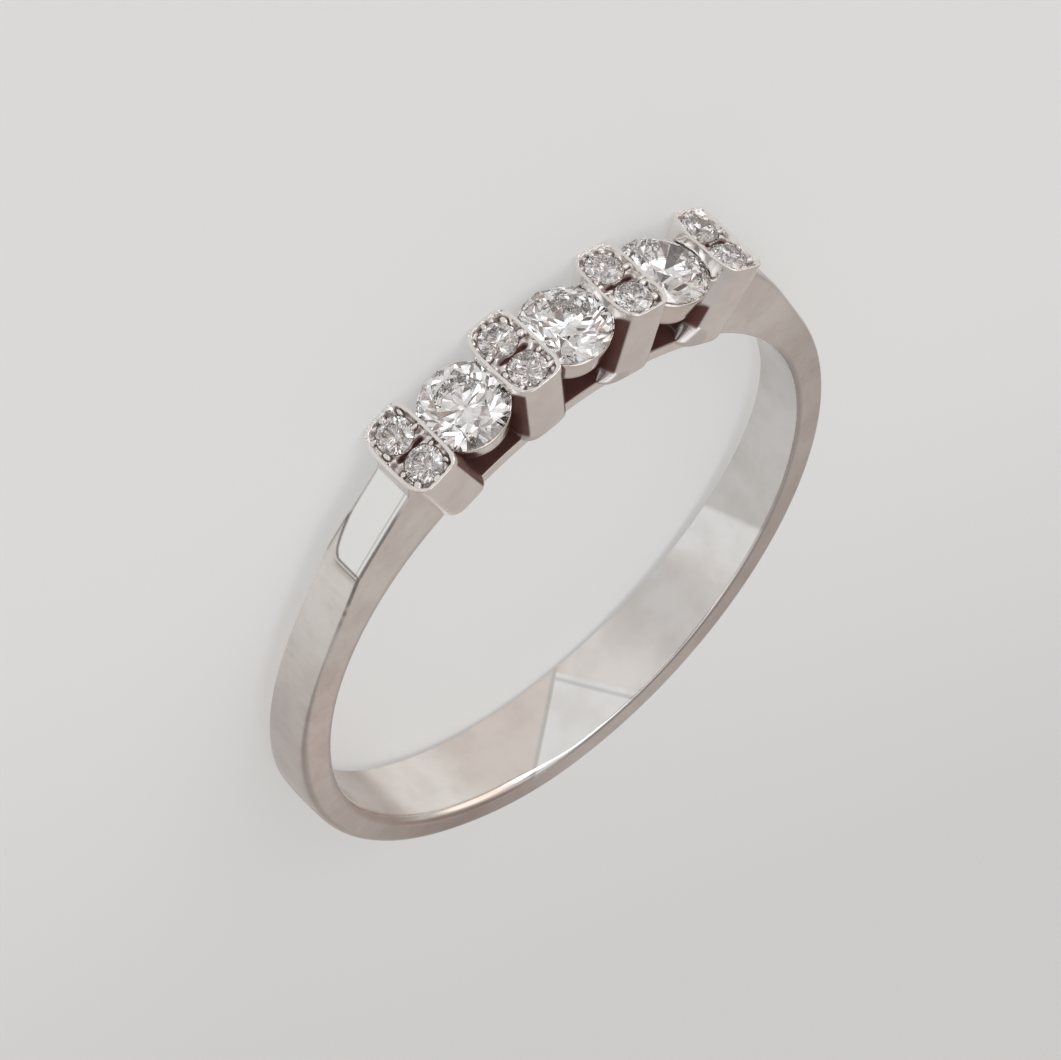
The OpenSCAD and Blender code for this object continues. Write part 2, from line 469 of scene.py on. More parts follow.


# The band's painted reflections and painted shade, as the photograph shows them, each painted over the ones
# before.
PAINTED_LIGHT_PATCHES = (
    PaintedLightPatch(Face.INNER, 60, 122.3, (0.74, 0.725, 0.71), end_slant=-2.4, end_blur=1.0),
    PaintedLightPatch(Face.INNER, 60, 86, (0.60, 0.585, 0.57), end_blur=10),
    PaintedLightPatch(Face.INNER, 122.3, 133, (1.0, 1.0, 1.0), -2.4, -2.1, 1.0, 4),
    PaintedLightPatch(Face.INNER, 136, 155, (0.79, 0.77, 0.755), start_slant=-1.5, start_blur=5, end_blur=7),
    PaintedLightPatch(Face.INNER, 176, 300, (0.87, 0.80, 0.755), start_slant=8.3, start_blur=2),
    PaintedLightPatch(Face.INNER, 202, 222, (1.0, 0.96, 0.92), start_blur=7, end_blur=6),
    PaintedLightPatch(Face.INNER, 165.5, 178.5, (1.0, 1.0, 1.0), -3.9, 8.3, 0.35, 0.4),
    PaintedLightPatch(Face.INNER, 166.6, 167.5, (0.78, 0.79, 0.79), -3.9, -3.9, 0.4, 0.4),
    PaintedLightPatch(Face.INNER, 178.4, 179.6, (0.68, 0.665, 0.65), 8.3, 8.3, 0.5, 0.7),
    PaintedLightPatch(Face.INNER, 223, 300, (0.59, 0.515, 0.48), start_blur=5),
    PaintedLightPatch(Face.OUTER, 180, 286, (0.64, 0.58, 0.555), start_blur=22, end_blur=18),
    PaintedLightPatch(Face.OUTER, 300, 318, (0.87, 0.835, 0.81), start_blur=9),
    PaintedLightPatch(Face.OUTER, 25, 60, (0.64, 0.605, 0.585), end_blur=10),
    PaintedLightPatch(Face.SIDE, 190, 228, (0.52, 0.45, 0.425), start_blur=16, end_blur=20),
    PaintedLightPatch(Face.SIDE, 25, 56, (0.92, 0.89, 0.87), end_blur=10),
    PaintedLightPatch(Face.SIDE, 62, 104, (0.74, 0.70, 0.675), start_blur=10, end_blur=12),
    PaintedLightPatch(Face.SIDE, 106, 146, (0.66, 0.61, 0.585), start_blur=10, end_blur=14),
    PaintedLightPatch(Face.SIDE, 258, 298, (0.88, 0.80, 0.775), start_blur=14, end_blur=12),
    PaintedLightPatch(Face.SIDE, 300, 335, (0.94, 0.91, 0.89), start_blur=12),
)


@dataclass(frozen=True)
class WhiteGold:
    """Rhodium-plated white gold.

    It is cool grey with soft clouds and fine polishing lines. The filed facets are mirrors, painted a
    little lighter, the outer faces are satin and painted darker, and painted shade, a dark red-brown,
    lies in grooves, along edges and in the recesses under the stones.
    """

    colour: Colour = (0.96, 0.93, 0.905)
    # Painted shade: the satin faces are painted darker than the bright metal.
    satin_shade_colour: Colour = (0.78, 0.745, 0.72)
    cloud_tint: Colour = (0.91, 0.90, 0.89)
    streak_tint: Colour = (0.95, 0.94, 0.93)
    # Painted light: the mirror facets are painted a little lighter.
    mirror_lit_colour: Colour = (0.985, 0.99, 0.985)
    # Painted shade: a dark red-brown laid in grooves, along edges and in recesses under the stones.
    painted_shade_colour: Colour = (0.13, 0.050, 0.042)
    polish: Polish = Polish.BRIGHT
    clouds_per_mm: float = 0.9
    cloud_range: Rise = (0.35, 0.7)
    streaks_per_mm: float = 4.0
    streak_range: Rise = (0.45, 0.75)
    streak_stretch: Direction = (1, 1, 0.5)
    lines_per_mm: float = 14.0
    line_stretch: Direction = (1, 1, 0.12)
    line_depth: float = 0.0005
    layers: int = 3
    bright_variation: float = 0.10
    satin_variation: float = 0.16
    painted_shade_dull: float = 0.6
    painted_light_patches: tuple[PaintedLightPatch, ...] = ()

    def material(self, name: str) -> bpy.types.Material:
        """Makes the finish.

        Args:
            name: the material's name.

        Returns:
            The material.
        """
        material, nodes = new_material(name)
        x, y, z = nodes.place()
        turn = x.turn_from(y)
        clouds = nodes.noise(self.clouds_per_mm, self.layers).eased(*self.cloud_range)
        streaks = nodes.noise(self.streaks_per_mm, self.layers, self.streak_stretch)
        streaks = streaks.eased(*self.streak_range)
        lines = nodes.noise(self.lines_per_mm, self.layers, self.line_stretch)
        satin, mirror, grime = (nodes.mask(part) for part in ("satin", "mirror", "grime"))
        # Painted shade on the satin faces.
        colour = nodes.mix(satin, self.colour, self.satin_shade_colour)
        # Painted reflections and painted shade, stretch by stretch.
        for patch in self.painted_light_patches:
            colour = nodes.mix(patch.mask(nodes, turn, z), colour, patch.shade)
        colour = nodes.mix(clouds, colour, self.cloud_tint, "MULTIPLY")
        colour = nodes.mix(streaks * satin, colour, self.streak_tint, "MULTIPLY")
        # The mirror facets, painted lighter.
        colour = nodes.mix(mirror, colour, self.mirror_lit_colour)
        # Painted shade, which also makes the metal duller and less metallic where it lies.
        colour = nodes.mix(grime, colour, self.painted_shade_colour)
        rough = self.polish.value + (lines - 0.5) * self.bright_variation
        rough = rough.towards(Polish.SATIN.value + (lines - 0.5) * self.satin_variation, satin)
        rough = rough.towards(Polish.MIRROR.value, mirror).towards(Polish.DULL.value, grime)
        inputs = {
            "Base Color": colour,
            "Metallic": 1 - grime * (self.painted_shade_dull + clouds * (1 - self.painted_shade_dull)),
            "Roughness": rough,
            "Normal": nodes.bump(lines, self.line_depth),
        }
        nodes.finish("ShaderNodeBsdfPrincipled", inputs)
        return material


@dataclass(frozen=True)
class CutStone:
    """A colourless cut stone with faint veils inside and a very high polish."""

    colour: Colour = (1.0, 1.0, 1.0)
    veil_colour: Colour = (0.74, 0.70, 0.675)
    veils_per_mm: float = 3.0
    veil_from: float = 0.52
    veil_full: float = 0.60
    veil_roughness: float = 0.004
    bend: float = 2.42

    def material(self, name: str) -> bpy.types.Material:
        """Makes the finish."""
        material, nodes = new_material(name)
        veils = nodes.noise(self.veils_per_mm, 2).eased(self.veil_from, self.veil_full)
        colour = nodes.mix(veils, self.colour, self.veil_colour)
        inputs = {
            "Base Color": colour,
            "Roughness": veils * self.veil_roughness,
            "IOR": self.bend,
            "Transmission Weight": 1.0,
        }
        nodes.finish("ShaderNodeBsdfPrincipled", inputs)
        return material


@dataclass(frozen=True)
class Line:
    """A thin line that runs beside an edge, at a distance, with a width and a strength: painted shade on
    the band, a groove in a bar's top.
    """

    place: float
    width: float
    strength: float = 1.0

    def mask(self, distance: Array) -> Array:
        """The strength times a bell curve round the line's place."""
        return self.strength * bell(distance - self.place, self.width)


@dataclass(frozen=True)
class BrokenLine:
    """The painted shade line along the band's near outer edge: whole beside the facet, broken below it."""

    width: Rise = (0.05, 0.085)
    start: Rise = (33, 37)
    whole_until: Rise = (49, 53)
    fade: Rise = (54, 68)
    breaks: float = 0.34
    sway: float = 0.22

    def mask(self, turn: Array, distance: Array) -> Array:
        """The line's strength, which the breaks lessen by a constant and a sine with uneven waves.

        Args:
            turn: angles from the middle stone, without their sign.
            distance: distances from the edge.

        Returns:
            The mask.
        """
        waves = self.sway * np.sin(1.9 * turn + 2 * np.sin(0.7 * turn))
        broken = 1 - (self.breaks - waves) * ease(turn, *self.whole_until)
        along = ease(turn, *self.start) * (1 - np.sqrt(ease(turn, *self.fade)))
        return (1 - ease(distance, *self.width)) * along * broken


@dataclass(frozen=True)
class Facet:
    """The flat that is filed on each shoulder: its direction, its distance, and its rounded end."""

    angle: float = 52.6
    height: float = 10.15
    end: float = 1.02
    corner_from: float = 0.05
    corner_reach: float = 0.36
    corner_rise: float = 0.42
    step: float = 0.05
    lip: float = 0.05
    reach: float = 75.0

    def radius(self, angle: Array) -> Array:
        """The flat's distance from the axis: its height over the cosine of the turn from it."""
        return self.height / np.cos(np.radians(np.minimum(np.abs(angle), self.reach) - self.angle))

    def inside(self, angle: Array, z: Array) -> Array:
        """How far a place is inside the flat's outline, in millimetres along the flat.

        The outline's end is straight on the near side and bends towards the head on the far side,
        with the cube of the distance from the band's middle.

        Args:
            angle: angles from the middle stone.
            z: places across the band.

        Returns:
            The distances, below 0 outside the outline.
        """
        along = self.height * np.tan(np.radians(self.angle - np.minimum(np.abs(angle), self.reach)))
        bend = np.maximum(0, -z - self.corner_from) / self.corner_reach
        slope = 3 * self.corner_rise * bend**2 / self.corner_reach
        return (along - self.end - self.corner_rise * bend**3) / np.sqrt(1 + slope**2)


@dataclass
class Band:
    """The band with its two shoulders, from one outer bar round the back to the other."""

    facet: Facet
    start: float = 30.6
    back_r: float = 9.40
    swell: float = 0.83
    swell_from: float = 47.0
    swell_fade: float = 11.0
    ridge_blend: float = 0.06
    worn: Span = (0, 10, 55, 74)
    worn_blend: float = 0.42
    worn_rise: float = 0.10
    narrow: float = 0.66
    wide: float = 1.20
    narrow_until: float = 35.0
    crown: float = 0.05
    inner_edge: float = 0.05
    near_inner_edge: float = 0.08
    near_inner_soft: float = 0.32
    soft_inner: Span = (176, 194, 235, 275)
    crisp_edge: float = 0.09
    far_edge: float = 0.10
    soft_edge: float = 0.30
    soft_left: Span = (58, 98, 150, 180)
    soft_shoulder: Span = (0, 10, 50, 75)
    soft_shoulder_share: float = 0.55
    fillet: float = 0.17
    bar_end: float = 31.6
    fillet_reach: float = 1.3
    # Painted shade lines round and beside the facet.
    outline: Line = Line(0.01, 0.026)
    steps: tuple[Line, ...] = (Line(0.115, 0.032, 0.75), Line(0.20, 0.07, 0.3))
    near_line: Line = Line(0.165, 0.018, 0.55)
    far_line: Line = Line(0.08, 0.028, 0.7)
    edge_line: BrokenLine = BrokenLine()
    steps_end: Rise = (0.05, 0.40)
    lines_end: Rise = (45.5, 48)
    facet_start: Rise = (0.75, 0.95)
    mirror_fade: float = 0.03
    side_edge: Rise = (-0.05, -0.01)
    outer_share: Rise = (0.35, 0.9)
    painted_shade_share: float = 0.8
    dark_share: Span = (0.10, 0.45, 1.0, 1.5)
    dark_inner: tuple[tuple[float, Span], ...] = (
        (0.45, (54, 70, 172, 188)),
        (0.35, (110, 150, 172, 188)),
        (0.35, (244, 262, 322, 329)),
    )
    fine_rows: int = 215
    back_rows: int = 170
    fine_until: float = 56.0
    corner_points: int = 7
    side_points: int = 6
    inner_points: int = 14
    outer_points: int = 56

    def outer_radius(self, angle: Array, z: Array) -> Array:
        """The outer face's distance from the axis.

        It is the back's radius with a swell that grows exponentially towards the head, slightly
        crowned across, or the facet's plane where that is less. On the left both are higher by a
        lip outside the facet's outline. On the right the facet is worn round, so the change is
        wider and the plane higher. At the bar the face rises in a fillet.

        Args:
            angle: angles from the middle stone.
            z: places across the band.

        Returns:
            The radii.
        """
        turn = np.abs(angle)
        right = plateau(angle, *self.worn)
        lip = self.facet.lip * ease(-self.facet.inside(angle, z), -self.facet.step / 2, self.facet.step / 2)
        lip = lip * (1 - right) + self.worn_rise * right
        body = self.back_r + self.swell * np.exp((self.swell_from - turn) / self.swell_fade)
        body = body + self.crown * (1 - (z / self.half_width(angle)) ** 2)
        plane = np.where(turn < self.facet.reach, self.facet.radius(angle), 99.0)
        blend = self.ridge_blend + (self.worn_blend - self.ridge_blend) * right
        radius = soft_least(body, plane + lip, blend)
        return radius + self.fillet * (1 - ease(turn, self.bar_end, self.bar_end + self.fillet_reach)) ** 2

    def half_width(self, angle: Array) -> Array:
        """Half the band's width: narrow at the shoulders, growing with a squared sine to the back."""
        share = np.clip((np.abs(angle) - self.narrow_until) / (180 - self.narrow_until), 0, 1)
        return self.narrow + (self.wide - self.narrow) * np.sin(share * math.pi / 2) ** 2

    def outer_edge(self, angle: Array, side: Side) -> Array:
        """The outer edge's rounding: crisp, but worn soft down the left and on the right shoulder."""
        crisp = self.crisp_edge if side is Side.NEAR else self.far_edge
        shoulder = self.soft_shoulder_share * plateau(angle, *self.soft_shoulder)
        return crisp + (self.soft_edge - crisp) * (plateau(-angle, *self.soft_left) + shoulder)

    def inner_round(self, angle: Array, z: Array) -> Array:
        """The inner edge's rounding: small, but soft at the back of the near side.

        Args:
            angle: angles from the middle stone.
            z: places across the band.

        Returns:
            The radii of the rounding.
        """
        soft = plateau(angle % 360, *self.soft_inner)
        near = self.near_inner_edge + (self.near_inner_soft - self.near_inner_edge) * soft
        return np.where(z > 0, near, self.inner_edge)

    def _flank(self, angle: Array, side: Side) -> tuple[Array, Array]:
        """One flat side of the band with its two rounded edges, from inside to outside.

        Args:
            angle: angles from the middle stone.
            side: the near or the far side.

        Returns:
            The radii and the places across the band, by section and by point.
        """
        half = self.half_width(angle)
        quarter = quarter_turn(self.corner_points)[None, :]
        along = inner_shares(self.side_points)
        inner = self.inner_round(angle, side.value)
        edge = self.outer_edge(angle, side)
        low = FINGER_R + inner
        top = self.outer_radius(angle, side.value * (half - edge)) - edge
        radii = [low - inner * np.cos(quarter), low + (top - low) * along, top + edge * np.sin(quarter)]
        insets = [inner * (1 - np.sin(quarter)), 0 * half * along, edge * (1 - np.cos(quarter))]
        return np.hstack(radii), side.value * (half - np.hstack(insets))

    def shell(self) -> Shell:
        """The band's sections, carried round the finger hole.

        Each section is flat inside, with rounded edges, flat sides and the outer face. The masks
        are satin on the outside, mirror on the facets, and painted shade in the groove round them.

        Returns:
            The band.
        """
        fine = np.linspace(self.start, self.fine_until, self.fine_rows)
        back = np.linspace(self.fine_until, 360 - self.fine_until, self.back_rows)
        turn = np.concatenate([fine, back[1:-1], 360 - fine[::-1]])[:, None]
        angle = np.where(turn > 180, turn - 360, turn)
        near_r, near_z = self._flank(angle, Side.NEAR)
        far_r, far_z = (rows[:, ::-1] for rows in self._flank(angle, Side.FAR))
        outer_z = near_z[:, -1:] + (far_z[:, :1] - near_z[:, -1:]) * inner_shares(self.outer_points)
        inner_z = far_z[:, -1:] + (near_z[:, :1] - far_z[:, -1:]) * inner_shares(self.inner_points)
        outer_r = self.outer_radius(angle, outer_z)
        radius = np.hstack([near_r, outer_r, far_r, FINGER_R + 0 * inner_z])
        z = np.hstack([near_z, outer_z, far_z, inner_z])
        return Shell.over_rings(around(turn, radius, z), **self._masks(angle, radius, z))

    def _masks(self, angle: Array, radius: Array, z: Array) -> dict[str, Array]:
        """Where the band is satin, mirror, and darkened by painted shade.

        Args:
            angle: angles from the middle stone.
            radius: distances from the axis.
            z: places across the band.

        Returns:
            The masks by name.
        """
        half = self.half_width(angle)
        turn = np.abs(angle)
        below = self.outer_radius(angle, z) - radius
        left = np.where(angle < 0, 1.0, 0.0)
        filed = left * ease(turn - self.bar_end, *self.facet_start)
        filed = filed * ease(-below, -0.5 * self.crisp_edge, 0.0)
        inside = self.facet.inside(angle, z)
        mirror = filed * ease(inside, 0.0, self.mirror_fade)
        # Painted shade: dark lines by the facet and the edge, and dark stretches of the inner edge.
        lines = filed * self._facet_lines(angle, z, inside)
        edge_line = left * self.edge_line.mask(turn, np.hypot(half - z, below))
        share = (radius - FINGER_R) / self.inner_round(angle, z)
        grime = np.maximum(lines, edge_line) + self._inner_painted_shade(angle, share, z)
        outside = ease(share, *self.outer_share)
        side = ease(np.abs(z) - half, *self.side_edge)
        return {
            "satin": outside * (1 - mirror),
            "mirror": mirror,
            "grime": self.painted_shade_share * grime,
            Face.INNER.value: 1 - outside,
            Face.OUTER.value: outside * (1 - side),
            Face.SIDE.value: outside * side,
        }

    def _facet_lines(self, angle: Array, z: Array, inside: Array) -> Array:
        """The painted shade lines along the facet's outline and its two sides.

        Args:
            angle: angles from the middle stone.
            z: places across the band.
            inside: distances inside the facet's outline.

        Returns:
            The mask.
        """
        half = self.half_width(angle)
        steps = sum(line.mask(-inside) for line in self.steps) * (1 - ease(-z, *self.steps_end))
        sides = self.near_line.mask(half - z) + self.far_line.mask(half + z)
        on_facet = 1 - ease(np.abs(angle), *self.lines_end)
        return np.clip(self.outline.mask(-inside) + steps + sides * on_facet, 0, 1)

    def _inner_painted_shade(self, angle: Array, share: Array, z: Array) -> Array:
        """The painted shade on stretches of the near inner edge.

        Args:
            angle: angles from the middle stone.
            share: how far out on the edge's rounding a place is.
            z: places across the band.

        Returns:
            The mask.
        """
        dark = sum(strength * plateau(angle % 360, *span) for strength, span in self.dark_inner)
        return plateau(share, *self.dark_share) * ease(z, 0.0, 0.1) * dark

    def build(self, material: bpy.types.Material) -> None:
        """Makes the band's piece."""
        self.shell().metal_piece("band", material)


@dataclass
class Brilliant:
    """A round brilliant: table, stars, kites, upper and lower girdle facets and pavilion mains."""

    name: str
    angle: float
    girdle_r: float
    diameter: float
    z: float = 0.0
    spin: float = 0.0
    star_length: float = 0.50
    lower_length: float = 0.76
    table_share: float = 0.57
    arc_points: int = 4

    def shell(self) -> Shell:
        """The stone's facets, each in one plane.

        Eight planes at the crown's slope give the kites. A kite has one corner on the table, one on
        the girdle, and two where it meets the next kites. The stars fill the gaps at the table. Each
        girdle facet is the plane through a kite's side corner and two girdle points, and the girdle
        is round: points between those two lie on the cylinder and in the facet's plane. The
        pavilion is made in the same way, with the culet for a table.

        Returns:
            The stone in its place on the ring.
        """
        radius = self.diameter / 2
        half_girdle = self.diameter * GIRDLE_SHARE / 2
        table_r = radius * self.table_share
        crown = self.diameter * CROWN_SHARE
        pavilion = self.diameter * PAVILION_SHARE
        turn = np.radians(np.arange(8) * 45.0)
        between = turn + SIXTEENTH
        shrink = math.cos(SIXTEENTH)
        table_mid = table_r * shrink
        star_r = table_mid + self.star_length * (radius - table_mid)
        star_h = half_girdle + crown * (radius - star_r * shrink) / (radius - table_r)
        low_r = radius * (1 - self.lower_length)
        low_h = -half_girdle - pavilion * (radius - low_r * shrink) / radius
        table = self._circle(turn, table_r, half_girdle + crown)
        stars = self._circle(between, star_r, star_h)
        lows = self._circle(between, low_r, low_h)
        culet = np.array([[0, 0, -half_girdle - pavilion]])
        steps = 4 * self.arc_points
        rim = np.arange(8 * steps) * (2 * math.pi / (8 * steps))
        upper = self._rim(rim, radius, half_girdle, stars)
        lower = self._rim(rim, radius, -half_girdle, lows)
        points = np.vstack([table, stars, upper, lower, lows, culet])
        return Shell(self._placed(points), self._faces(steps)).outwards()

    @staticmethod
    def _circle(turn: Array, radius: float, height: float) -> Array:
        """Points on a level circle."""
        return np.stack([radius * np.cos(turn), radius * np.sin(turn), height + 0 * turn], axis=-1)

    def _rim(self, rim: Array, radius: float, height: float, corners: Array) -> Array:
        """The girdle's edge points, each in the plane of its girdle facet.

        Args:
            rim: the points' angles.
            radius: the girdle's radius.
            height: the height at the kites' tips.
            corners: the kites' side corners, which the planes pass through.

        Returns:
            The edge points.
        """
        facet = np.floor(rim / SIXTEENTH + 1e-9).astype(int)
        first = self._circle(facet * SIXTEENTH, radius, height)
        second = self._circle((facet + 1) * SIXTEENTH, radius, height)
        corner = corners[facet // 2]
        normal = np.cross(second - first, corner - first)
        flat = self._circle(rim, radius, 0)
        rise = ((first - flat) * normal).sum(axis=1) / normal[:, 2]
        return flat + rise[:, None] * (0, 0, 1)

    @staticmethod
    def _faces(steps: int) -> list[Array]:
        """The corner numbers of all facets, for a girdle with this many points in each eighth."""
        eighth = np.arange(8)
        after, before = (eighth + 1) % 8, (eighth - 1) % 8
        star, upper = 8, 16
        lower = upper + 8 * steps
        low = lower + 8 * steps
        culet = low + 8
        rim = np.arange(8 * steps)
        rim_next = (rim + 1) % (8 * steps)
        half = steps // 2
        reach = np.arange(half + 1)
        first = (eighth[:, None] * steps + reach) % (8 * steps)
        second = (eighth[:, None] * steps + half + reach) % (8 * steps)
        arcs = np.vstack([first, second])
        corners = np.concatenate([eighth, eighth])[:, None]
        return [
            eighth[None, :],
            np.stack([eighth, star + eighth, after], axis=-1),
            np.stack([eighth, star + before, upper + eighth * steps, star + eighth], axis=-1),
            np.hstack([star + corners, upper + arcs]),
            np.stack([upper + rim, lower + rim, lower + rim_next, upper + rim_next], axis=-1),
            np.hstack([low + corners, (lower + arcs)[:, ::-1]]),
            np.stack([culet + 0 * eighth, low + eighth, lower + eighth * steps, low + before], axis=-1),
        ]

    def _placed(self, points: Array) -> Array:
        """The stone's points, turned about its own axis and set on the ring."""
        turn = math.radians(self.spin)
        s = points[:, 0] * math.cos(turn) - points[:, 1] * math.sin(turn)
        z = points[:, 0] * math.sin(turn) + points[:, 1] * math.cos(turn)
        return stand_out(self.angle, s, z + self.z, points[:, 2] + self.girdle_r)

    def build(self, material: bpy.types.Material, slot: str) -> bpy.types.Object:
        """Makes the stone's piece, which stands for the CAD node of the same name."""
        obj = self.shell().piece(self.name + "_cut", material, slot, 0)
        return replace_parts(obj, self.name)


@dataclass
class CrossBar:
    """One cross bar: tapered sides, rounded foot, bright rim, sunk field, stone seats and grains."""

    number: int
    angle: float
    half_width: float = 0.755
    half_length: float = 1.28
    foot_half_length: float = 1.10
    foot_r: float = 8.56
    foot_round: float = 0.34
    taper: float = 0.8
    solder: float = 0.0
    solder_top: float = 9.15
    solder_full: float = 8.85
    solder_ends: Rise = (0.45, 0.8)
    solder_edge: Rise = (0.01, 0.05)
    solder_tarnish: float = 0.24
    edge_round: float = 0.03
    rim: float = 0.075
    rim_slope: float = 0.08
    field_depth: float = 0.11
    notch_depth: float = 0.045
    notch_pitch: float = 0.27
    notch_ends: Rise = (0.80, 1.0)
    notch_inset: Rise = (0.01, 0.03)
    round_corner: float = 3.4
    square_corner: float = 5.5
    grain_r: float = 0.085
    grain_reach: float = 0.565
    grain_turns: tuple[float, ...] = (35.0, 90.0, 145.0, 205.0, 335.0)
    grain_widening: float = 1.06
    grain_spread: tuple[float, ...] = (0.045, 0.045, 0.03, 0.4)
    grain_height: float = 0.55
    grain_foot: float = 0.03
    highest_grain: float = 0.02
    groove: Line = Line(0.02, 0.025, 0.06)
    crevice: float = 0.16
    crevice_width: float = 0.07
    crevice_ends: Rise = (0.36, 0.50)
    seat_room: float = 0.02
    seat_gap: float = 0.03
    seat_outer_slope: float = 1.3
    seat_flat: float = 0.06
    seat_slope_over: float = 1.45
    seat_slope_under: float = 1.16
    # Painted shade on the walls in the recesses beside the main stones.
    wall_shade_top: float = 10.85
    wall_shade_rise: float = 0.36
    wall_shade_rises: Rise = (0.4, 1.0)
    wall_shade_blur: float = 0.05
    wall_shade_side: Rise = (0.53, 0.57)
    wall_shade_near: Rise = (-0.50, -0.10)
    wall_shade_low: Rise = (0.35, 0.41)
    foot_line: Rise = (0.19, 0.27)
    foot_line_share: float = 0.35
    # Painted shade in the seats under the small stones, in flecks, and in the low field and crevice.
    in_seat: Rise = (0.005, 0.04)
    fleck_mean: float = 0.4
    fleck_contrast: float = 14.0
    fleck_most: float = 0.85
    low_field: Rise = (-0.03, 0.02)
    low_shade: float = 0.75
    seat_edge: Rise = (0.98, 1.02)
    crevice_shade: Rise = (0.3, 0.5)
    points: int = 288
    field_rows: int = 64
    rim_rows: int = 20
    edge_rows: int = 5
    wall_rows: int = 44
    foot_rows: int = 11
    closing_rows: int = 8

    def outline(self, inset: Array, length: Array) -> tuple[Array, Array]:
        """The bar's outline from above, drawn in by an inset.

        It is a superellipse: the powers of the shares of half width and half length add up to 1.
        The power is lower, and the corner rounder, on the side towards the left shoulder.

        Args:
            inset: how far the outline is drawn in, by row.
            length: the half length before the inset, by row.

        Returns:
            The places along the row of stones and along z, by row and by point.
        """
        turn = np.arange(self.points) * (2 * math.pi / self.points)
        cosine, sine = np.cos(turn)[None, :], np.sin(turn)[None, :]
        power = np.where(cosine < 0, self.round_corner, self.square_corner)
        wide = self.half_width - inset[:, None]
        long = length[:, None] - inset[:, None]
        reach = (np.abs(cosine / wide) ** power + np.abs(sine / long) ** power) ** (-1 / power)
        return reach * cosine, reach * sine

    def main_stones(self) -> list[float]:
        """The angles of the main stones beside the bar."""
        return [angle for angle in STONE_ANGLES if abs(angle - self.angle) < BAR_PITCH]

    def stones(self) -> list[Brilliant]:
        """The bar's two small stones, far and near."""
        return [
            Brilliant(
                name=f"bar_{self.number}_stone_{side.name.lower()}",
                angle=self.angle,
                girdle_r=SMALL_GIRDLE_R,
                diameter=SMALL_D,
                z=side.value * SMALL_PITCH / 2,
                spin=11.0 * self.number + 17.0 * side.value,
            )
            for side in Side
        ]

    def grains(self) -> Array:
        """The grains: five round each stone, moved, sized and stretched a little at random.

        Returns:
            One row for each grain, with its place along s and z, its radius and its stretch.
        """
        random = np.random.default_rng(self.number)
        turn = np.radians(self.grain_turns)
        rows = []
        for side in Side:
            s = self.grain_reach * np.cos(turn) * self.grain_widening
            z = side.value * (SMALL_PITCH / 2 + self.grain_reach * np.sin(turn))
            rows.append(np.stack([s, z, np.full(len(turn), self.grain_r), np.ones(len(turn))], axis=-1))
        grains = np.vstack(rows)
        return grains + random.uniform(-1, 1, grains.shape) * self.grain_spread

    def between(self, s: Array, z: Array) -> Array:
        """How much a place on the top is in the crevice between the bar's two stones."""
        return bell(z, self.crevice_width) * (1 - ease(np.abs(s), *self.crevice_ends))

    def seats(self, s: Array, z: Array) -> Array:
        """How near a place on the top is to a small stone's axis, as a share of the seat's radius."""
        reach = [np.hypot(s, z - side.value * SMALL_PITCH / 2) for side in Side]
        return np.minimum(*reach) / (SMALL_D / 2 + self.seat_room)

    def height_on_top(self, s: Array, z: Array, inset: Array) -> Array:
        """The height of the top at each place.

        The rim is at the head's full height, with notches cut across it at the two ends, and slopes
        down to a sunk field of small tool cuts. Each stone's seat is a cone under its pavilion. A
        crevice lies between the stones, and each grain is an oval bump with a groove round it.

        Args:
            s: places along the row of stones.
            z: places along the finger hole's axis.
            inset: each place's distance from the outline.

        Returns:
            The heights.
        """
        below = ease(inset, self.rim, self.rim + self.rim_slope)
        ends = ease(np.abs(z), *self.notch_ends) * ease(inset, *self.notch_inset)
        cuts = 0.5 + 0.5 * np.sin(2 * math.pi * s / self.notch_pitch + 3 * self.number)
        height = HEAD_R - self.field_depth * below - self.notch_depth * ends * cuts**2
        height = height + below * ripples(s, z, self.number)
        height = height - self.crevice * self.between(s, z)
        share = self.seats(s, z)
        cone = SMALL_GIRDLE_R - self.seat_gap - (1 - share) * SMALL_D * PAVILION_SHARE
        height = np.minimum(height, cone + self.seat_outer_slope * np.maximum(0, share - 1))
        foot = SMALL_GIRDLE_R + self.grain_foot
        for grain_s, grain_z, grain_r, stretch in self.grains():
            reach = np.hypot((s - grain_s) * stretch, (z - grain_z) / stretch)
            height = height - self.groove.mask(reach - grain_r) * below
            bump = self.grain_height * np.sqrt(np.maximum(0, grain_r**2 - reach**2))
            height = np.where(bump > 0, np.maximum(height, foot + bump), height)
        return np.minimum(height, HEAD_R + self.highest_grain)

    def _top(self) -> tuple[Array, ...]:
        """The top as outlines, from its middle across the field and the rim.

        Returns:
            The places along s and z, the heights and the painted shade, by row and by point.
        """
        rim_insets = np.linspace(self.rim + 1.2 * self.rim_slope, self.edge_round, self.rim_rows)
        shares = np.linspace(0, 1, self.field_rows, endpoint=False)[1:, None]
        s_rim, z_rim = self.outline(rim_insets, np.full(len(rim_insets), self.half_length))
        s = np.vstack([s_rim[:1] * shares, s_rim])
        z = np.vstack([z_rim[:1] * shares, z_rim])
        inset = np.vstack([rim_insets[0] + (1 - shares) * self.half_width, rim_insets[:, None]])
        height = self.height_on_top(s, z, np.broadcast_to(inset, s.shape))
        return s, z, height, self._painted_shade_on_top(s, z, height)

